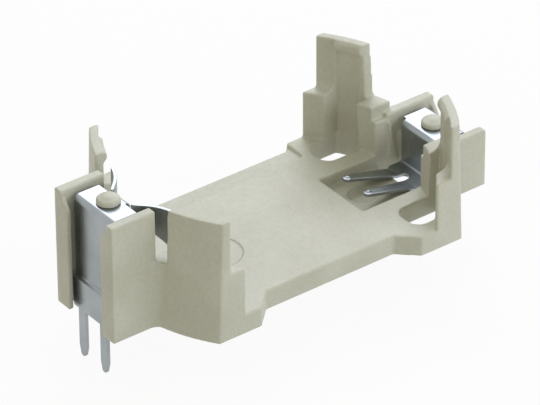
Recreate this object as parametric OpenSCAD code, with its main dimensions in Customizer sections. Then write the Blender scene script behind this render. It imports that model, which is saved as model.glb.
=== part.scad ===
// Through-hole holder for a stepped coin cell.
// Origin: middle of the footprint on the board plane. X runs along the
// holder towards the negative contact, Z points away from the board.

/* [Coin cell] */
// Diameter of the cell's can
cell_d = 24.5; // [23.5:0.1:25.5]
// Width of the step around the cell's narrower negative side
cell_step = 0.95; // [0.8:0.05:1.2]
// Height of the cell
cell_h = 7.7; // [7.2:0.1:8.4]
// Height of the narrower negative side
step_h = 3.85; // [3.6:0.05:4.4]
// Radial clearance between the cell and the posts
cell_gap = 0.15; // [0.1:0.05:0.3]

/* [Base] */
// Thickness of the floor
floor_t = 1.6; // [1.4:0.05:2]
// Width across the four feet
body_w = 15.8; // [15.2:0.1:17]
// Width from the middle to the near side of the floor between the feet
near_side = 6.45; // [6.2:0.05:6.8]
// Width from the middle to the far side of the floor between the feet
far_side = 7.3; // [7:0.05:7.5]
// Half length of the straight near side between the feet
waist_x = 5.65; // [5.2:0.05:6]
// Length of the slanted side that leads into a foot
waist_slope = 1.5; // [1:0.1:1.7]
// Width of the sunk marking strip along the far side
strip_w = 1.55; // [1.2:0.05:1.8]
// Depth of the marking strip
strip_depth = 0.25; // [0.1:0.05:0.4]
// Half length of the marking strip
strip_x = 6.95; // [6:0.05:7]

/* [Corner posts] */
// Wall thickness of the posts
post_t = 0.95; // [0.8:0.05:1.1]
// Inward lean of the outer wall from foot to top
post_draft = 0.3; // [0:0.05:0.4]
// Height of the posts above the top of the cell
post_over = 0.5; // [0.4:0.05:0.8]
// Distance from the middle to the end faces of the near posts
post_near = 4.1; // [4.05:0.05:4.3]
// Distance from the middle to the end faces of the far posts
post_far = 4.4; // [4.3:0.05:4.5]
// Sideways lean of the far posts' end faces above the low blocks
post_lean = 0.2; // [0:0.05:0.3]
// Reach of the snap lip into the pocket
lip_reach = 0.3; // [0.2:0.05:0.5]
// Height of the lip's upright nose
lip_nose = 0.42; // [0.3:0.02:0.6]
// Drop of the lip's lead-in face
lip_lead = 0.25; // [0.1:0.05:0.3]
// Radius of the hollow between the two pocket levels
step_fillet = 0.8; // [0.4:0.05:0.9]
// Radius of the upright edges at the sides of the pocket
nose_r = 0.15; // [0.1:0.05:0.25]

/* [Core slots] */
// Distance from the middle to the inner side of a slot
slot_y = 4; // [3.9:0.05:4.1]
// Width of a slot
slot_w = 2.5; // [2.2:0.05:2.6]
// Widening of the core between the floor and the top of the low block
slot_draft = 0.3; // [0.1:0.05:0.4]
// Distance from the middle to the rounded end of a slot
slot_x = 7.7; // [7.4:0.1:8]
// Radius of the corners at a slot's inner end
slot_r = 0.95; // [0.5:0.05:1.05]

/* [Wings] */
// Distance that the wings stand out beyond the posts
wing_reach = 3.25; // [3.15:0.05:3.6]
// Wall thickness of the wings
wing_t = 0.8; // [0.7:0.05:0.9]
// Clear width between the two wings
wing_gap = 5.2; // [5.15:0.05:5.4]
// Height of the wings at the positive end
wing_h_pos = 9.55; // [9.3:0.05:10]
// Height of the wings at the negative end
wing_h_neg = 4.68; // [4.5:0.02:5]
// Distance from the pocket to the inner end of the tall wings
wing_root = 0.45; // [0.35:0.05:0.6]
// Thickness of the ribs at the ends of the wings
rib_t = 0.4; // [0.3:0.05:0.5]
// Reach of the ribs over the contact
rib_reach = 0.67; // [0.5:0.01:0.8]
// Distance from the top of a wing down to its rib
rib_drop = 0.45; // [0.2:0.05:0.8]
// Height of the slanted lead-in on top of a rib
rib_lead = 0.9; // [0.3:0.1:1.2]
// Radius of the hollow between a wing and its post
wing_fillet = 1.05; // [0.6:0.05:1.4]
// Width of the notch in the low blocks beside the negative contact
notch_w = 0.4; // [0.2:0.05:0.5]
// Depth of that notch
notch_h = 1.1; // [0.8:0.05:1.3]

/* [Contacts] */
// Thickness of the contact sheet
sheet_t = 0.25; // [0.2:0.01:0.3]
// Inner radius of the contact bends
bend_r = 0.2; // [0.1:0.05:0.3]
// Width of the positive contact
pos_w = 4.5; // [4.2:0.05:4.7]
// Width of the negative contact
neg_w = 4.3; // [4:0.05:4.6]
// Height of the seat under the positive contact
pos_seat = 8.95; // [8.7:0.05:9.1]
// Height of the seat under the negative contact
neg_seat = 4.07; // [3.9:0.01:4.2]
// Distance from the ends of the wings in to the outer face of the contacts
plate_inset = 0.85; // [0.75:0.05:0.95]
// Outward jog of the positive pins
jog = 0.25; // [0.1:0.05:0.3]
// Height of the jog above the board
jog_z = 2.64; // [2:0.02:3]
// Height of the jog's slope
jog_h = 0.15; // [0.1:0.05:0.4]
// Distance between the pins of one contact
pin_pitch = 2.54; // [2.3:0.02:2.8]
// Width of a pin
pin_w = 0.85; // [0.7:0.05:1]
// Length of a pin below the board plane
pin_l = 3.8; // [3:0.1:4.2]
// Length of a pin's tapered tip
pin_tip = 0.85; // [0.5:0.05:1.2]
// Gap between the contacts and the plastic
contact_gap = 0.06; // [0.03:0.01:0.1]

/* [Rivet heads] */
// Diameter of the stake through a contact
stake_d = 1; // [0.8:0.05:1.2]
// Diameter of a rivet head
head_d = 1.78; // [1.5:0.02:2]
// Height of a rivet head
head_h = 0.6; // [0.5:0.05:0.7]
// Height of a rivet head's rounded rim
head_rim = 0.22; // [0.1:0.02:0.3]
// Distance from the outer face of a contact in to its rivet
head_inset = 1.35; // [1.25:0.05:1.45]

/* [Positive spring arms] */
// Distance from the pocket to the cell side of the arms' root
root_gap = 0.75; // [0.65:0.05:0.85]
// Width of the tab that carries the arms
root_w = 1.7; // [1.5:0.1:1.9]
// Width of the relief cut between the tab and an arm
relief_w = 0.3; // [0.2:0.05:0.4]
// Depth of the relief cut below the top of the plate
relief_h = 0.8; // [0.6:0.05:0.9]
// Bend radius at the root of an arm
arm_r = 0.7; // [0.5:0.05:0.9]
// Angle that an arm leans towards the cell
arm_a = 47; // [40:1:50]
// Length of an arm's straight stretch
arm_l = 0.5; // [0.3:0.05:0.7]
// Radius of an arm's bow against the cell
bow_r = 4; // [3.5:0.1:4.5]
// Angle that an arm still leans at its tip
tip_a = 17; // [12:1:22]
// Height of the tab and of an arm's root
arm_root_h = 1.25; // [1.15:0.05:1.4]
// Slope of an arm's lower edge, in degrees
arm_slope = 35; // [20:1:40]

/* [Negative fingers] */
// Distance from the pocket to the cell side of the inner plate
inner_gap = 0.53; // [0.45:0.01:0.6]
// Width of the inner plate
inner_w = 3.6; // [3:0.1:4]
// Distance from the middle to the start of the fingers' slope
finger_x = 11.5; // [11.3:0.05:11.6]
// Distance from the middle to the tips of the contact dimples
dimple_x = 7.5; // [7.3:0.05:7.7]
// Height of the dimples above the floor
finger_rise = 0.4; // [0.3:0.05:0.6]
// Distance between the two dimples
finger_pitch = 2.4; // [2.2:0.05:2.6]
// Width of a finger at its tip
finger_tip_w = 0.66; // [0.5:0.02:0.8]
// Width of the cut between the fingers at their root
finger_cut = 0.76; // [0.6:0.02:0.9]
// Radius of a contact dimple
dimple_r = 0.25; // [0.15:0.01:0.3]

/* [Contact window] */
// Distance from the middle to the near end of the window
window_x = 5.96; // [5.8:0.02:6.2]
// Distance from a wing's inner face in to the side of the window
window_inset = 0.05; // [0.05:0.05:0.2]
// Thickness of the floor left under the window
window_floor = 0.6; // [0.4:0.05:0.7]
// Distance from the middle to the opening through the floor
open_x = 11.3; // [11:0.1:11.6]
// Thickness of the guide ribs beside the negative contact
guide_t = 0.3; // [0.2:0.05:0.4]
// Slant of the guide ribs over the height of the contact
guide_lean = 0.85; // [0.5:0.05:1]

/* [Moulding marks] */
// Diameter of the ejector mark in the window
mark_d = 2; // [1.5:0.1:2.4]
// Diameter of the ejector mark on the floor
floor_mark_d = 4; // [3:0.1:4.5]
// Depth of the ejector marks
mark_depth = 0.05; // [0.03:0.01:0.1]

/* [Hidden] */
$fn = 96;
eps = 0.02;
plastic = [0.80, 0.80, 0.73];
metal = [0.74, 0.76, 0.78];

// Moulding details that nothing else is set from
shoulder_drop = 1.2;
mark_x = 8.15;
mark_y = 0.3;
floor_mark_x = -5.6;
floor_mark_y = -0.4;
dimple_sink = 0.12;

pocket_r = cell_d / 2 + cell_gap;
step_r = pocket_r - cell_step;
post_r = pocket_r + post_t;
post_h = floor_t + cell_h + post_over;
step_z = floor_t + step_h;
nose_top = post_h - lip_lead;
nose_low = nose_top - lip_nose;
lip_r = pocket_r - lip_reach;
side_y = body_w / 2;
wing_y = wing_gap / 2;
wing_out = wing_y + wing_t;
window_w = wing_gap - 2 * window_inset;
end_x = post_r + wing_reach;
wing_x = pocket_r + wing_root;
root_x = pocket_r + root_gap;
inner_x = pocket_r + inner_gap;
plate_x = end_x - plate_inset;
head_x = plate_x - head_inset;
foot_x = waist_x + waist_slope;
slot_out = slot_y + slot_w;
upper_x = plate_x - sheet_t;
pillar_out = upper_x - contact_gap;
pos_pillar_x = root_x + sheet_t + contact_gap;
neg_pillar_x = inner_x + sheet_t + contact_gap;
pos_top = pos_seat + sheet_t;
neg_top = neg_seat + sheet_t;
out_r = bend_r + sheet_t;
tip_top = floor_t + finger_rise - dimple_sink;

// Radius of the posts' leaning outer wall at height z.
function wall_r(z) = post_r - post_draft * z / post_h;

// ---------------------------------------------------------------- helpers

// Both signs of Y.
module both_sides() {
    children();
    mirror([0, 1, 0]) children();
}

// The same thing at both ends of the holder.
module both_ends() {
    children();
    mirror([1, 0, 0]) children();
}

// A drawing in the XZ plane, drawn out to width w about Y = 0.
module along_y(w) {
    translate([0, w / 2, 0]) rotate([90, 0, 0])
        linear_extrude(height = w) children();
}

// A drawing in the YZ plane, drawn out from X = x0 to X = x1.
module along_x(x0, x1) {
    translate([x0, 0, 0]) rotate([90, 0, 90])
        linear_extrude(height = x1 - x0) children();
}

// Ring sector in 2D: outer radius r, thickness t, from angle a0 to a1.
module arc(r, t, a0, a1) {
    reach = 2 * r;
    mid = (a0 + a1) / 2;
    intersection() {
        difference() {
            circle(r);
            circle(r - t);
        }
        polygon([[0, 0], reach * [cos(a0), sin(a0)],
                 reach * [cos(mid), sin(mid)], reach * [cos(a1), sin(a1)]]);
    }
}

// Turns a drawing of radius and height about Z from angle a0 to a1.
module sweep(a0, a1) {
    rotate([0, 0, a0]) rotate_extrude(angle = a1 - a0) children();
}

// ---------------------------------------------------------------- housing

// Outline of the floor with its feet and waist.
module floor_outline() {
    difference() {
        intersection() {
            circle(wall_r(floor_t));
            square([2 * post_r, body_w], center = true);
        }
        waist_cut(near_side, -1);
        waist_cut(far_side, 1);
    }
    // tongue between the tall wings
    translate([-pos_pillar_x - eps, -wing_y - eps])
        square([pos_pillar_x - step_r, wing_gap + 2 * eps]);
}

// Cut with slanted ends between the feet of one side.
module waist_cut(side, sign) {
    depth = side_y - side;
    slope = waist_slope * depth / (side_y - near_side);
    half = foot_x - slope;
    over = 1 + 1 / depth;
    polygon([[-half, sign * side], [half, sign * side],
             [half + slope * over, sign * (side + depth * over)],
             [-half - slope * over, sign * (side + depth * over)]]);
}

// Section of a corner: the full wall and the low block in front of it that
// carries the narrow side of the cell, with a hollow between the two.
module corner_section() {
    top = step_z + step_fillet;
    toe = pocket_r - step_fillet;
    difference() {
        polygon([[step_r, 0], [wall_r(0), 0], [wall_r(post_h), post_h], [pocket_r, post_h],
                 [pocket_r, top], [toe, top], [toe, step_z], [step_r, step_z]]);
        translate([toe, top]) circle(step_fillet);
    }
}

// Section of the snap lip: slanted underside, upright nose, lead-in face.
module lip_section() {
    back = pocket_r + post_t / 4;
    polygon([[pocket_r, nose_low - lip_reach], [lip_r, nose_low], [lip_r, nose_top],
             [pocket_r, post_h], [back, post_h], [back, nose_low - lip_reach]]);
}

// One corner in the quadrant of positive X and Y: a low block from the wing on
// (with a notch of width notch), then the post from end_y on.
module corner(end_y, lean, notch) {
    difference() {
        intersection() {
            union() {
                sweep(0, 50) corner_section();
                intersection() {
                    sweep(10, 50) lip_section();
                    cube([post_r, slot_out, post_h + 1]);
                }
            }
            along_x(0, post_r + 1) polygon([[wing_y, -1], [wing_y, step_z - notch_h],
                [wing_y + notch, step_z - notch_h], [wing_y + notch, step_z], [end_y, step_z],
                [end_y + lean, post_h], [end_y + lean, post_h + 1], [side_y, post_h + 1],
                [side_y, -1]]);
        }
        core();
        translate([0, 0, floor_t]) linear_extrude(height = post_h)
            nose_cut(step_r, side_y, nose_r);
        translate([0, 0, step_z]) linear_extrude(height = post_h)
            nose_cut(pocket_r, side_y, nose_r, step_fillet);
    }
}

// The two corners at the end of positive X.
module corners(notch) {
    corner(post_far, post_lean, notch);
    mirror([0, 1, 0]) corner(post_near, 0, notch);
}

// Sharp tip between a wall of radius r and the flat side at Y = y, cut to a
// round nose. What stands up to proud inside the wall is cut too.
module nose_cut(r, y, nose, proud = 0.05) {
    cy = y - nose;
    cx = sqrt(pow(r + nose, 2) - cy * cy);
    touch = r / (r + nose) * [cx, cy];
    inner = (r - proud) / (r + nose) * [cx, cy];
    corner = [sqrt(r * r - y * y) - 2 * proud, y];
    difference() {
        polygon([touch, inner, corner, corner + [0, eps], [cx, y + eps], [cx, cy]]);
        translate([cx, cy]) circle(nose);
    }
}

// Concave hollow where a wing's outer face runs into a post.
module wing_hollow(h) {
    cy = wing_out + wing_fillet;
    back = wall_r(h);
    cx = sqrt(pow(back + wing_fillet, 2) - cy * cy);
    touch = back / (back + wing_fillet) * [cx, cy];
    linear_extrude(height = h) difference() {
        polygon([[touch[0] - wing_t / 2, wing_y], [cx, wing_y], [cx, cy], touch]);
        translate([cx, cy]) circle(wing_fillet);
    }
}

// One wing with the rib that holds the contact at its end.
module wing(x0, h) {
    translate([x0, wing_y, 0]) cube([end_x - x0, wing_t, h]);
    rib_top = h - rib_drop;
    along_x(end_x - rib_t, end_x) polygon([[wing_y - rib_reach, 0],
        [wing_y + wing_t / 2, 0], [wing_y + wing_t / 2, rib_top], [wing_y, rib_top],
        [wing_y - rib_reach, rib_top - rib_lead]]);
}

// Pillar between the wings that a contact is riveted to.
module pillar(x0, seat, w) {
    translate([x0, -wing_y - wing_t / 2, 0])
        cube([pillar_out - x0, wing_gap + wing_t, seat - shoulder_drop]);
    along_y(w) polygon([[x0, 0], [pillar_out, 0], [pillar_out, seat - bend_r],
        [pillar_out - bend_r, seat], [x0 + bend_r, seat], [x0, seat - bend_r]]);
}

// Stake through the contact with its formed head.
module rivet_head(seat) {
    flat_r = head_d / 2 - head_rim;
    crown = head_h - head_rim;
    crown_r = (pow(head_d / 2, 2) + crown * crown) / (2 * crown);
    translate([head_x, 0, seat - eps]) cylinder(d = stake_d, h = sheet_t + 2 * eps);
    translate([head_x, 0, seat + sheet_t]) rotate_extrude() intersection() {
        square([head_d / 2, head_h]);
        union() {
            square([flat_r, head_rim]);
            translate([flat_r, head_rim]) circle(head_rim);
            translate([0, head_h - crown_r]) circle(crown_r);
        }
    }
}

// Plan of the core that frees the snap lip from below.
module core_plan() {
    intersection() {
        circle(pocket_r);
        union() {
            translate([slot_x + slot_r, slot_y]) square([pocket_r, slot_w]);
            translate([slot_x, slot_y + slot_r]) square([pocket_r, slot_w - 2 * slot_r]);
            for (y = [slot_y + slot_r, slot_out - slot_r])
                translate([slot_x + slot_r, y]) circle(slot_r);
        }
    }
}

// The core: through the floor, then widening beside the low block, and ending
// between the block and the lip.
module core() {
    top = step_z + step_fillet + 1;
    intersection() {
        translate([0, 0, -1]) linear_extrude(height = top + 1) core_plan();
        along_x(0, post_r) polygon([[slot_y - 1, -2], [slot_y - 1, floor_t],
            [slot_y, floor_t], [slot_y + slot_draft, step_z], [slot_y + slot_draft, top + 1],
            [slot_out + 1, top + 1], [slot_out + 1, -2]]);
    }
}

// Window for the negative fingers, and its opening to the board.
module contact_window() {
    translate([window_x, -window_w / 2, window_floor])
        cube([neg_pillar_x - window_x, window_w, step_z]);
    translate([open_x, -window_w / 2, -1])
        cube([neg_pillar_x - open_x, window_w, window_floor + 2]);
    translate([mark_x, mark_y, window_floor - mark_depth]) cylinder(d = mark_d, h = 1);
}

// Tapered guide ribs beside the negative contact.
module guides() {
    foot = neg_pillar_x - eps;
    both_sides() translate([0, wing_y + eps, 0]) rotate([90, 0, 0])
        linear_extrude(height = guide_t) polygon([[foot - 1, 0], [foot, 0],
            [foot, window_floor / 3], [foot - guide_lean, neg_seat], [foot - 1, neg_seat]]);
}

// Sunk strip for a marking, and the ring that an ejector leaves on the floor.
module floor_marks() {
    translate([-strip_x, far_side - strip_w, floor_t - strip_depth])
        cube([2 * strip_x, strip_w + 1, 1]);
    translate([floor_mark_x, floor_mark_y, floor_t - mark_depth])
        cylinder(d = floor_mark_d, h = 1);
}

// Wings and pillar around the negative contact.
module negative_end() {
    both_sides() {
        wing(neg_pillar_x - contact_gap, wing_h_neg);
        wing_hollow(min(wing_h_neg, step_z));
    }
    pillar(neg_pillar_x, neg_seat, neg_w);
}

// Wings and pillar around the positive contact, drawn at positive X.
module positive_end() {
    both_sides() {
        wing(wing_x, wing_h_pos);
        wing_hollow(step_z);
    }
    pillar(pos_pillar_x, pos_seat, pos_w);
}

module housing() color(plastic) {
    difference() {
        union() {
            linear_extrude(height = floor_t) floor_outline();
            corners(notch_w);
            mirror([1, 0, 0]) corners(0);
            negative_end();
            mirror([1, 0, 0]) positive_end();
        }
        both_ends() both_sides() core();
        contact_window();
        floor_marks();
    }
    guides();
    rivet_head(neg_seat);
    mirror([1, 0, 0]) rivet_head(pos_seat);
}

// --------------------------------------------------------------- contacts

// Side view of the saddle over a pillar: top plate, outer plate and pins,
// which stand out by out_by below the jog.
module saddle_side(x0, top, out_by) {
    pin_in = upper_x + out_by;
    translate([x0, top - sheet_t]) square([plate_x - out_r - x0, sheet_t]);
    translate([plate_x - out_r, top - out_r]) arc(out_r, sheet_t, 0, 90);
    polygon([[upper_x, top - out_r], [plate_x, top - out_r], [plate_x, jog_z],
             [plate_x + out_by, jog_z - jog_h], [plate_x + out_by, -pin_l],
             [pin_in, -pin_l], [pin_in, jog_z - jog_h], [upper_x, jog_z]]);
}

// End view of the saddle: full width above the board, two pins below.
module saddle_end(w, top) {
    tip = pin_w * 0.32;
    translate([-w / 2, 0.1]) square([w, top]);
    for (side = [-1, 1]) translate([side * pin_pitch / 2, 0]) {
        translate([-pin_w / 2, pin_tip - pin_l]) square([pin_w, pin_l - pin_tip + 0.2]);
        polygon([[-pin_w / 2, pin_tip - pin_l], [-tip, tip - pin_l], [tip, tip - pin_l],
                 [pin_w / 2, pin_tip - pin_l]]);
        translate([0, tip - pin_l]) circle(tip);
    }
}

// Saddle plate with its pins and rivet hole.
module saddle(x0, w, top, out_by) {
    difference() {
        intersection() {
            along_y(w) saddle_side(x0, top, out_by);
            along_x(x0 - 1, plate_x + out_by + 1) saddle_end(w, top);
        }
        translate([head_x, 0, top - 1]) cylinder(d = stake_d + contact_gap, h = 2);
    }
}

// Plan of one spring arm, from the root tab to its tip.
module arm_plan() {
    mid_x = root_x + sheet_t / 2;
    y0 = root_w / 2;
    turn = [mid_x - arm_r, y0];
    knee = turn + arm_r * [cos(arm_a), sin(arm_a)];
    bow_start = knee + arm_l * [-sin(arm_a), cos(arm_a)];
    bow = bow_start + bow_r * [cos(arm_a), sin(arm_a)];
    translate([root_x, -eps]) square([sheet_t, y0 + 2 * eps]);
    translate(turn) arc(arm_r + sheet_t / 2, sheet_t, 0, arm_a);
    translate(knee) rotate(90 + arm_a) translate([-eps, -sheet_t / 2])
        square([arm_l + 2 * eps, sheet_t]);
    translate(bow) arc(bow_r + sheet_t / 2, sheet_t, 180 + tip_a, 180 + arm_a);
}

// Height band of the arms: the tab stops at its bend, a relief cut frees each
// arm, and the lower edge slopes down to the tip.
module arm_band() {
    tip_y = bow_r;
    tab_y = root_w / 2;
    arm_y = tab_y + relief_w;
    root_low = pos_top - arm_root_h;
    tip_low = root_low - (tip_y - tab_y) * tan(arm_slope);
    half = [[tab_y, root_low], [tip_y, tip_low], [tip_y, pos_top], [arm_y, pos_top],
            [arm_y, pos_top - relief_h], [tab_y, pos_top - relief_h],
            [tab_y, pos_top - out_r]];
    polygon(concat(half, [for (i = [len(half) - 1:-1:0]) [-half[i][0], half[i][1]]]));
}

module positive_contact() color(metal) mirror([1, 0, 0]) {
    saddle(root_x + out_r, pos_w, pos_top, jog);
    // bend from the top plate down into the tab
    along_y(root_w) translate([root_x + out_r, pos_top - out_r])
        arc(out_r, sheet_t, 90, 180);
    intersection() {
        linear_extrude(height = pos_top - eps) union() {
            arm_plan();
            mirror([0, 1]) arm_plan();
        }
        along_x(root_x - bow_r, root_x + out_r) arm_band();
    }
}

// Side view of the negative contact's inner plate, low plate and fingers.
module finger_side() {
    low = window_floor;
    translate([inner_x + out_r, neg_top - out_r]) arc(out_r, sheet_t, 90, 180);
    translate([inner_x, low + out_r])
        square([sheet_t, neg_top - low - 2 * out_r]);
    translate([inner_x + sheet_t - out_r, low + out_r]) arc(out_r, sheet_t, 270, 360);
    translate([finger_x, low]) square([inner_x + sheet_t - out_r - finger_x, sheet_t]);
    polygon([[finger_x + eps, low], [finger_x + eps, low + sheet_t],
             [finger_x, low + sheet_t], [dimple_x, tip_top],
             [dimple_x - 0.35, tip_top], [dimple_x - 0.35, tip_top - sheet_t],
             [dimple_x, tip_top - sheet_t], [finger_x, low]]);
}

// Plan of the inner plate, the low plate and its two fingers.
module finger_plan() {
    outer = finger_pitch / 2 + finger_tip_w / 2 + 0.05;
    inner = finger_pitch / 2 - finger_tip_w / 2;
    half_cut = finger_cut / 2;
    cut_end = finger_x + 0.25;
    difference() {
        polygon([[dimple_x, -outer], [finger_x, -outer], [finger_x + 0.3, -inner_w / 2],
                 [inner_x + 1, -inner_w / 2], [inner_x + 1, inner_w / 2],
                 [finger_x + 0.3, inner_w / 2], [finger_x, outer], [dimple_x, outer]]);
        polygon([[dimple_x - 1, -inner], [dimple_x, -inner], [cut_end, -half_cut],
                 [cut_end, half_cut], [dimple_x, inner], [dimple_x - 1, inner]]);
        translate([cut_end, 0]) circle(half_cut);
    }
    for (side = [-1, 1]) translate([dimple_x, side * finger_pitch / 2])
        circle(d = finger_tip_w);
}

module negative_contact() color(metal) {
    saddle(inner_x + out_r, neg_w, neg_top, 0);
    intersection() {
        along_y(neg_w) finger_side();
        linear_extrude(height = neg_top) finger_plan();
    }
    for (side = [-1, 1])
        translate([dimple_x, side * finger_pitch / 2, tip_top - dimple_r + dimple_sink])
            sphere(dimple_r);
}

housing();
positive_contact();
negative_contact();
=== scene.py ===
# %% [markdown]
# # A coin cell holder for a printed circuit board
#
# The holder is one moulded tray with four corner posts that snap over a coin
# cell, and two folded sheet-metal contacts, each with two pins that go through
# the board. Stakes of the tray's own plastic rivet the contacts down. Its shape
# comes ready made from the CAD frame. In this lesson we soften the moulded and
# punched edges the way the tools leave them, give the plastic and the metal
# their finishes, and light the part like a small object in a studio.

# %% Load the frame
import bpy
import bmesh
import math
from mathutils import Matrix, Vector


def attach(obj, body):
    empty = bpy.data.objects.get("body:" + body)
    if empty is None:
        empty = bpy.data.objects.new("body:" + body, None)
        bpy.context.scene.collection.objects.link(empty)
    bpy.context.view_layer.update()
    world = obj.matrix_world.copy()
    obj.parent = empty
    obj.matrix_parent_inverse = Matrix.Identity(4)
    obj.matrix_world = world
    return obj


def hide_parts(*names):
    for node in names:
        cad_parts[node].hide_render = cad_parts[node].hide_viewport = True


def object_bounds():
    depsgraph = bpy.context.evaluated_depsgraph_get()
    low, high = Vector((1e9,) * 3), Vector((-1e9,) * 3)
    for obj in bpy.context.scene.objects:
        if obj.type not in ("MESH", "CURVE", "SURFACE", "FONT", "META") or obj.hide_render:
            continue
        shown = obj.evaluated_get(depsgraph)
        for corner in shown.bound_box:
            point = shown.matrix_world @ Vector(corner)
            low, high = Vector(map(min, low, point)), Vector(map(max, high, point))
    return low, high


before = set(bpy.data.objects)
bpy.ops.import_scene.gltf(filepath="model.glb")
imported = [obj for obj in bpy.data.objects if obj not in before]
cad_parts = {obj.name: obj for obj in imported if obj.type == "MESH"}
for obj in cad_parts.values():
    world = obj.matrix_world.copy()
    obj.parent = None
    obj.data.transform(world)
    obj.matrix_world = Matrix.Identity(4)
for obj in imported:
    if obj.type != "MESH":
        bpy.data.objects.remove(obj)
cad_low, cad_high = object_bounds()
MM = 0.001
print("nodes:", sorted(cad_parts))
print("size in mm:", [round(v / MM, 2) for v in cad_high - cad_low])

# %% [markdown]
# ## The camera
#
# A catalogue view of a small part uses a long lens from far away, so that its
# parallel edges stay nearly parallel. We set the camera by the direction that
# it looks from, its distance and a long focal length, and then slide it
# sideways until the part sits in the middle of the view.

# %% Work out the camera's axes
AZIMUTH = math.radians(37.064)
ELEVATION = math.radians(33.517)
ROLL = math.radians(-0.30)


def camera_axes(azimuth, elevation, roll):
    """The camera's right, up and backward directions in the part's frame."""
    back = Vector((-math.sin(azimuth) * math.cos(elevation),
                   -math.cos(azimuth) * math.cos(elevation),
                   math.sin(elevation)))
    right = Vector((0, 0, 1)).cross(back).normalized()
    up = back.cross(right)
    c, s = math.cos(roll), math.sin(roll)
    return c * right + s * up, -s * right + c * up, back


right, up, back = camera_axes(AZIMUTH, ELEVATION, ROLL)
print("camera looks along", [round(-v, 3) for v in back])

# %% Place the camera
DISTANCE = 366.0 * MM
SLIDE_RIGHT = 0.3486 * MM
SLIDE_UP = -2.794 * MM
FOCAL_LENGTH = 341.6
CLIP_NEAR = 0.01
CLIP_FAR = 10

camera_data = bpy.data.cameras.new("catalogue_camera")
camera_data.lens = FOCAL_LENGTH
camera_data.clip_start = CLIP_NEAR
camera_data.clip_end = CLIP_FAR
camera = bpy.data.objects.new("catalogue_camera", camera_data)
bpy.context.scene.collection.objects.link(camera)
camera.matrix_world = Matrix((right, up, back)).transposed().to_4x4()
camera.location = DISTANCE * back - SLIDE_RIGHT * right - SLIDE_UP * up
bpy.context.scene.camera = camera
print("camera at", [round(v, 4) for v in camera.location])

# %% [markdown]
# ## The cores' shallow panels
#
# The steel cores that free the snap lips from below stand a little proud of
# the pocket's wall, so each leaves a shallow panel in the post under its lip.
# We spin a small rectangle round the cell's axis into a curved block, mirror it
# to the four posts, and later take the blocks away from the tray with a
# Boolean.

# %% Make the blocks that cut the panels
PANEL_IN = 12.0 * MM
PANEL_OUT = 12.58 * MM
PANEL_LOW = 1.9 * MM
PANEL_HIGH = 8.85 * MM
PANEL_START = math.radians(23.3)
PANEL_END = math.radians(31.6)
PANEL_STEPS = 12


def add_panel_block(bm, flip_x, flip_y):
    """Spins one curved block and turns it to the quarter that the flips name."""
    before = set(bm.verts)
    corners = [bm.verts.new((r * math.cos(PANEL_START),
                             r * math.sin(PANEL_START), z))
               for r, z in ((PANEL_IN, PANEL_LOW), (PANEL_OUT, PANEL_LOW),
                            (PANEL_OUT, PANEL_HIGH), (PANEL_IN, PANEL_HIGH))]
    section = bm.faces.new(corners)
    bmesh.ops.spin(bm, geom=[section] + list(section.edges) + corners,
                   steps=PANEL_STEPS, axis=(0, 0, 1),
                   angle=PANEL_END - PANEL_START)
    block = [v for v in bm.verts if v not in before]
    bmesh.ops.scale(bm, verts=block, vec=(flip_x, flip_y, 1))


panel_bm = bmesh.new()
for flip_x in (1, -1):
    for flip_y in (1, -1):
        add_panel_block(panel_bm, flip_x, flip_y)
bmesh.ops.recalc_face_normals(panel_bm, faces=panel_bm.faces)
panel_mesh = bpy.data.meshes.new("panel_blocks")
panel_bm.to_mesh(panel_mesh)
panel_bm.free()
panel_blocks = bpy.data.objects.new("panel_blocks", panel_mesh)
bpy.context.scene.collection.objects.link(panel_blocks)
print("panel blocks:", len(panel_mesh.polygons), "faces")

# %% [markdown]
# ## Softened edges
#
# No mould or punch makes a knife-sharp edge. A moulding has a small radius on
# every edge, inside and out, and it is this radius that catches the light. A
# Bevel would do on a simple block, but here hundreds of short edges meet in
# the posts, and their bevels would run into each other. So we take a copy of
# the shape, recast it in very small cells (Remesh), relax the cells a few
# times (Smooth), which rounds every edge alike and leaves flat walls flat, and
# then melt away the cells that the flat walls don't need (Decimate).

# %% Weld a copy of a CAD node
WELD_WITHIN = 0.001 * MM


def welded_copy(node, name):
    """A new object with a CAD node's shape, its loose triangles joined."""
    bm = bmesh.new()
    bm.from_mesh(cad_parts[node].data)
    bmesh.ops.remove_doubles(bm, verts=bm.verts, dist=WELD_WITHIN)
    mesh = bpy.data.meshes.new(name + "_welded")
    bm.to_mesh(mesh)
    bm.free()
    copy = bpy.data.objects.new(name + "_cast", mesh)
    bpy.context.scene.collection.objects.link(copy)
    print(name, "welded to", len(mesh.vertices), "corners")
    return copy


# %% Recast the copies with soft edges
TRAY_CELL = 0.07 * MM
TRAY_RELAX = 14
TRAY_KEEP = 0.25
SHEET_CELL = 0.035 * MM
SHEET_RELAX = 2
SHEET_KEEP = 0.3


def softened(node, name, cell, relax, keep, cut=None):
    """A copy of a CAD node with a small radius on each edge, shown in its place.
    The object cut is first taken away from it."""
    cast = welded_copy(node, name)
    if cut:
        cutting = cast.modifiers.new("cut", "BOOLEAN")
        cutting.object = cut
        cutting.operation = "DIFFERENCE"
        cutting.solver = "EXACT"
    recast = cast.modifiers.new("recast", "REMESH")
    recast.mode = "VOXEL"
    recast.voxel_size = cell
    smooth = cast.modifiers.new("relax", "SMOOTH")
    smooth.factor = 0.5
    smooth.iterations = relax
    thin = cast.modifiers.new("thin_out", "DECIMATE")
    thin.ratio = keep
    depsgraph = bpy.context.evaluated_depsgraph_get()
    mesh = bpy.data.meshes.new_from_object(cast.evaluated_get(depsgraph))
    mesh.name = name
    mesh.shade_smooth()
    bpy.data.objects.remove(cast)
    piece = bpy.data.objects.new(name, mesh)
    bpy.context.scene.collection.objects.link(piece)
    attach(piece, "root")
    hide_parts(node)
    print(name, len(mesh.polygons), "faces")
    return piece


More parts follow.
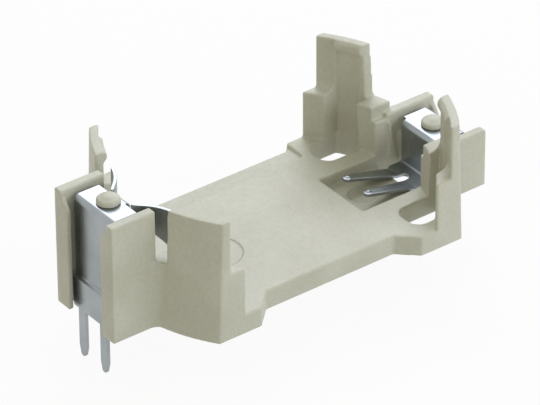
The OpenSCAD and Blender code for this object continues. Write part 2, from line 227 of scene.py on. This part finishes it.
tray = softened("housing", "moulded_tray",
                TRAY_CELL, TRAY_RELAX, TRAY_KEEP, cut=panel_blocks)
bpy.data.objects.remove(panel_blocks)
positive = softened("positive_contact", "positive_spring_contact",
                    SHEET_CELL, SHEET_RELAX, SHEET_KEEP)
negative = softened("negative_contact", "negative_finger_contact",
                    SHEET_CELL, SHEET_RELAX, SHEET_KEEP)

# %% [markdown]
# ## The moulded plastic's colour
#
# The tray is an engineering plastic in a warm stone grey. Where the melt
# flowed, the colour drifts a little, and its fillers show as faint flecks. One
# flat colour would look like paint, so we mix two near tones with a slow noise
# and darken the mix here and there with a fast one.

# %% Mix the plastic's colour
STONE_DARK = (0.590, 0.576, 0.482)
STONE_LIGHT = (0.642, 0.632, 0.540)
FLECK_DARK = (0.93, 0.93, 0.91)
FLECK_NONE = (1.0, 1.0, 1.0)
DRIFT_SCALE = 260
FLECK_SCALE = 4200


def new_material(name):
    """A new node material with its shader and its Object coordinates."""
    material = bpy.data.materials.new(name)
    material.use_nodes = True
    nodes = material.node_tree.nodes
    place = nodes.new("ShaderNodeTexCoord").outputs["Object"]
    return material, nodes["Principled BSDF"], place


def wire(material, source, target):
    """Links an output to an input."""
    material.node_tree.links.new(source, target)


def noise(material, place, scale, detail=2.0, stretch=None):
    """Noise of so many cycles per metre, drawn out along an axis by stretch."""
    nodes = material.node_tree.nodes
    if stretch:
        mapping = nodes.new("ShaderNodeMapping")
        mapping.inputs["Scale"].default_value = stretch
        wire(material, place, mapping.inputs["Vector"])
        place = mapping.outputs["Vector"]
    texture = nodes.new("ShaderNodeTexNoise")
    texture.inputs["Scale"].default_value = scale
    texture.inputs["Detail"].default_value = detail
    wire(material, place, texture.inputs["Vector"])
    return texture.outputs["Fac"]


def blend_colours(material, factor, first, second):
    """A ramp from one colour to another over the middle third of a noise."""
    ramp = material.node_tree.nodes.new("ShaderNodeValToRGB")
    for stop, position, colour in zip(ramp.color_ramp.elements, (0.35, 0.65),
                                      (first, second)):
        stop.position = position
        stop.color = (*colour, 1)
    wire(material, factor, ramp.inputs["Fac"])
    return ramp.outputs["Color"]


plastic, plastic_shader, plastic_place = new_material("stone_grey_plastic")
drift = noise(plastic, plastic_place, DRIFT_SCALE, detail=3)
tone = blend_colours(plastic, drift, STONE_DARK, STONE_LIGHT)
filler = noise(plastic, plastic_place, FLECK_SCALE, detail=4)
fleck = blend_colours(plastic, filler, FLECK_DARK, FLECK_NONE)
speckled = plastic.node_tree.nodes.new("ShaderNodeMix")
speckled.data_type = "RGBA"
speckled.blend_type = "MULTIPLY"
speckled.inputs["Factor"].default_value = 1.0
wire(plastic, tone, speckled.inputs["A"])
wire(plastic, fleck, speckled.inputs["B"])
wire(plastic, speckled.outputs["Result"], plastic_shader.inputs["Base Color"])
print(plastic.name, "from", STONE_DARK, "to", STONE_LIGHT)

# %% [markdown]
# ## The moulded plastic's depth and gloss
#
# The plastic is not quite opaque. Light enters the thin walls and comes out
# warmer, which is subsurface scattering, and red goes deepest. The gloss is
# that of a satin moulding, and a noise in the roughness keeps it from being
# the same all over.

# %% Set the plastic's depth and gloss
GLOSS_SCALE = 1800
SATIN_LOW, SATIN_HIGH = 0.40, 0.50
SCATTER_SHARE = 0.12
SCATTER_REACH = 0.5 * MM
SCATTER_BY_COLOUR = (1.0, 0.72, 0.35)
PLASTIC_IOR = 1.5
PLASTIC_SHINE = 0.4
NOISE_LOW, NOISE_HIGH = 0.3, 0.7


def fit_range(material, factor, low, high):
    """Stretches the part of a noise that is in use to the range low to high."""
    span = material.node_tree.nodes.new("ShaderNodeMapRange")
    span.inputs["From Min"].default_value = NOISE_LOW
    span.inputs["From Max"].default_value = NOISE_HIGH
    span.inputs["To Min"].default_value = low
    span.inputs["To Max"].default_value = high
    wire(material, factor, span.inputs["Value"])
    return span.outputs["Result"]


satin = fit_range(plastic, noise(plastic, plastic_place, GLOSS_SCALE),
                  SATIN_LOW, SATIN_HIGH)
wire(plastic, satin, plastic_shader.inputs["Roughness"])
plastic_shader.inputs["IOR"].default_value = PLASTIC_IOR
plastic_shader.inputs["Specular IOR Level"].default_value = PLASTIC_SHINE
plastic_shader.inputs["Subsurface Weight"].default_value = SCATTER_SHARE
plastic_shader.inputs["Subsurface Radius"].default_value = SCATTER_BY_COLOUR
plastic_shader.inputs["Subsurface Scale"].default_value = SCATTER_REACH
print("plastic roughness", SATIN_LOW, "to", SATIN_HIGH)

# %% [markdown]
# ## The print of the mould
#
# Two ejector pins push the moulding out, and their ends print a round mark in
# the floor and another in the window. The marks are in the mesh, but only a
# twentieth of a millimetre deep, and softening the edges blurs them, so a bump
# draws their rims sharp again. The rest of the surface is the print of a
# spark-eroded mould, a very fine even grain, which is a second bump.

# %% Print the ejector marks and the grain
FLOOR_MARK = (-5.6 * MM, -0.4 * MM)
FLOOR_MARK_WIDTH = 4.0 * MM
WINDOW_MARK = (8.15 * MM, 0.3 * MM)
WINDOW_MARK_WIDTH = 2.0 * MM
MARK_DEPTH = 0.05 * MM
MARK_RIM = 0.06 * MM
GRAIN_SCALE = 9000
GRAIN_DEPTH = 0.006 * MM
GRAIN_STRENGTH = 0.7


def bump(material, height, depth, strength=1.0, under=None):
    """A normal raised by height times depth, in metres, over another one."""
    node = material.node_tree.nodes.new("ShaderNodeBump")
    node.inputs["Distance"].default_value = depth
    node.inputs["Strength"].default_value = strength
    wire(material, height, node.inputs["Height"])
    if under:
        wire(material, under, node.inputs["Normal"])
    return node.outputs["Normal"]


def sunk_disc(material, place, centre, width):
    """Height that is 0 inside an upright cylinder and 1 outside it."""
    nodes = material.node_tree.nodes
    flat = nodes.new("ShaderNodeVectorMath")
    flat.operation = "MULTIPLY"
    flat.inputs[1].default_value = (1, 1, 0)
    wire(material, place, flat.inputs[0])
    away = nodes.new("ShaderNodeVectorMath")
    away.operation = "DISTANCE"
    away.inputs[1].default_value = (*centre, 0)
    wire(material, flat.outputs["Vector"], away.inputs[0])
    step = nodes.new("ShaderNodeMapRange")
    step.inputs["From Min"].default_value = width / 2 - MARK_RIM
    step.inputs["From Max"].default_value = width / 2 + MARK_RIM
    wire(material, away.outputs["Value"], step.inputs["Value"])
    return step.outputs["Result"]


print_of_mould = None
for centre, width in ((FLOOR_MARK, FLOOR_MARK_WIDTH),
                      (WINDOW_MARK, WINDOW_MARK_WIDTH)):
    disc = sunk_disc(plastic, plastic_place, centre, width)
    print_of_mould = bump(plastic, disc, MARK_DEPTH, under=print_of_mould)
grain = noise(plastic, plastic_place, GRAIN_SCALE, detail=3)
print_of_mould = bump(plastic, grain, GRAIN_DEPTH, GRAIN_STRENGTH,
                      under=print_of_mould)
wire(plastic, print_of_mould, plastic_shader.inputs["Normal"])
print("grain", round(GRAIN_DEPTH / MM, 4), "mm deep")

# %% Dress the tray
tray.data.materials.clear()
tray.data.materials.append(plastic)
print("plastic on", tray.name)

# %% [markdown]
# ## The plated contact sheet
#
# The contacts are punched and folded from thin strip that was plated bright.
# Rolling leaves fine straight lines along the strip, and plating leaves a
# slight cloudiness. Both are shallow, so the cloud only moves the colour, and
# the lines belong in the roughness and in a bump of a fraction of a
# micrometre, over a fully metallic shader.

# %% Make the metal
PLATING_DARK = (0.31, 0.335, 0.345)
PLATING_LIGHT = (0.36, 0.385, 0.395)
CLOUD_SCALE = 500
STREAK_SCALE = 1500
STREAK_STRETCH = (0.3, 4.0, 0.3)
BRIGHT_LOW, BRIGHT_HIGH = 0.27, 0.32
ROLLED_SCALE = 2500
ROLLED_STRETCH = (0.08, 5.0, 0.08)
ROLLED_DEPTH = 0.0002 * MM
ROLLED_STRENGTH = 0.25

metal, metal_shader, metal_place = new_material("bright_plated_strip")
metal_shader.inputs["Metallic"].default_value = 1.0
cloud = noise(metal, metal_place, CLOUD_SCALE, detail=3)
wire(metal, blend_colours(metal, cloud, PLATING_DARK, PLATING_LIGHT),
     metal_shader.inputs["Base Color"])
streaks = noise(metal, metal_place, STREAK_SCALE, stretch=STREAK_STRETCH)
wire(metal, fit_range(metal, streaks, BRIGHT_LOW, BRIGHT_HIGH),
     metal_shader.inputs["Roughness"])
rolled = noise(metal, metal_place, ROLLED_SCALE, stretch=ROLLED_STRETCH)
wire(metal, bump(metal, rolled, ROLLED_DEPTH, ROLLED_STRENGTH),
     metal_shader.inputs["Normal"])
print(metal.name, "roughness", BRIGHT_LOW, "to", BRIGHT_HIGH)

# %% Dress the contacts
for contact in (positive, negative):
    contact.data.materials.clear()
    contact.data.materials.append(metal)
    print("metal on", contact.name)

# %% [markdown]
# ## The floor
#
# The part stands on its pins on a pale floor. A white background must not come
# from more light, which would wash out the part. So to the camera and in the
# metal's reflections most of the floor is a plain white glow, and to all other
# light it is a matt surface. The share that isn't glow carries the part's
# soft shadow.

# %% Lay the floor
FLOOR_HALF = 3.0
FLOOR_BELOW = 0.02 * MM
FLOOR_GREY = 0.85
FLOOR_ROUGHNESS = 0.9
WHITE_SHARE = 0.93


def seen_share(tree):
    """1 for rays from the camera, off a shiny surface or through a clear one."""
    path = tree.nodes.new("ShaderNodeLightPath")
    seen = path.outputs["Is Camera Ray"]
    for ray in ("Is Glossy Ray", "Is Transmission Ray"):
        either = tree.nodes.new("ShaderNodeMath")
        either.operation = "MAXIMUM"
        tree.links.new(seen, either.inputs[0])
        tree.links.new(path.outputs[ray], either.inputs[1])
        seen = either.outputs["Value"]
    return seen


floor_bm = bmesh.new()
bmesh.ops.create_grid(floor_bm, x_segments=1, y_segments=1, size=FLOOR_HALF)
bmesh.ops.translate(floor_bm, verts=floor_bm.verts,
                    vec=(0, 0, cad_low.z - FLOOR_BELOW))
floor_mesh = bpy.data.meshes.new("studio_floor")
floor_bm.to_mesh(floor_mesh)
floor_bm.free()
floor = bpy.data.objects.new("studio_floor", floor_mesh)
bpy.context.scene.collection.objects.link(floor)
print("floor at", round((cad_low.z - FLOOR_BELOW) / MM, 2), "mm")

# %% Paint the floor
paint, paint_shader, _ = new_material("white_floor")
paint_nodes = paint.node_tree.nodes
paint_shader.inputs["Base Color"].default_value = (FLOOR_GREY, FLOOR_GREY, FLOOR_GREY, 1)
paint_shader.inputs["Roughness"].default_value = FLOOR_ROUGHNESS
glow = paint_nodes.new("ShaderNodeEmission")
share = paint_nodes.new("ShaderNodeMath")
share.operation = "MULTIPLY"
share.inputs[1].default_value = WHITE_SHARE
wire(paint, seen_share(paint.node_tree), share.inputs[0])
either = paint_nodes.new("ShaderNodeMixShader")
wire(paint, share.outputs["Value"], either.inputs["Fac"])
wire(paint, paint_shader.outputs["BSDF"], either.inputs[1])
wire(paint, glow.outputs["Emission"], either.inputs[2])
wire(paint, either.outputs["Shader"], paint_nodes["Material Output"].inputs["Surface"])
floor_mesh.materials.append(paint)
print("floor is", WHITE_SHARE, "white glow where it is seen")

# %% [markdown]
# ## The light
#
# The world is seen white too, but lights the part with a weaker, slightly
# warm glow. A large soft lamp high up behind shines off the tops, a fill of
# the same size in front on the right lifts the near walls, and a weak one on
# the left opens the shaded end, all at a level at which a colour comes out
# about as it was mixed.

# %% Light the world
AMBIENT_COLOUR = (1.0, 0.99, 0.78)
AMBIENT_STRENGTH = 0.38

world = bpy.data.worlds.new("studio_world")
world.use_nodes = True
bpy.context.scene.world = world
sky, sky_links = world.node_tree.nodes, world.node_tree.links
ambient = sky["Background"]
ambient.inputs["Color"].default_value = (*AMBIENT_COLOUR, 1)
ambient.inputs["Strength"].default_value = AMBIENT_STRENGTH
white = sky.new("ShaderNodeBackground")
white.inputs["Color"].default_value = (1, 1, 1, 1)
white.inputs["Strength"].default_value = 1.0
either = sky.new("ShaderNodeMixShader")
sky_links.new(seen_share(world.node_tree), either.inputs["Fac"])
sky_links.new(ambient.outputs["Background"], either.inputs[1])
sky_links.new(white.outputs["Background"], either.inputs[2])
sky_links.new(either.outputs["Shader"], sky["World Output"].inputs["Surface"])
print("ambient light", AMBIENT_STRENGTH)

# %% Hang the lamps
LAMP_SIZE = 0.20


def soft_lamp(name, place, watts, colour):
    """A square lamp that faces the middle of the part."""
    data = bpy.data.lights.new(name, "AREA")
    data.shape = "SQUARE"
    data.size = LAMP_SIZE
    data.energy = watts
    data.color = colour
    lamp = bpy.data.objects.new(name, data)
    bpy.context.scene.collection.objects.link(lamp)
    lamp.location = place
    lamp.rotation_euler = (-Vector(place)).to_track_quat("-Z", "Y").to_euler()
    print(name, watts, "W")


soft_lamp("overhead_lamp", (0.11, 0.145, 0.17), 0.35, (0.94, 0.99, 1.12))
soft_lamp("front_fill", (0.14, -0.24, 0.14), 0.34, (0.94, 1.0, 1.12))
soft_lamp("left_fill", (-0.22, -0.14, 0.12), 0.05, (1.0, 1.0, 0.98))

view = bpy.context.scene.view_settings
view.view_transform = "Standard"
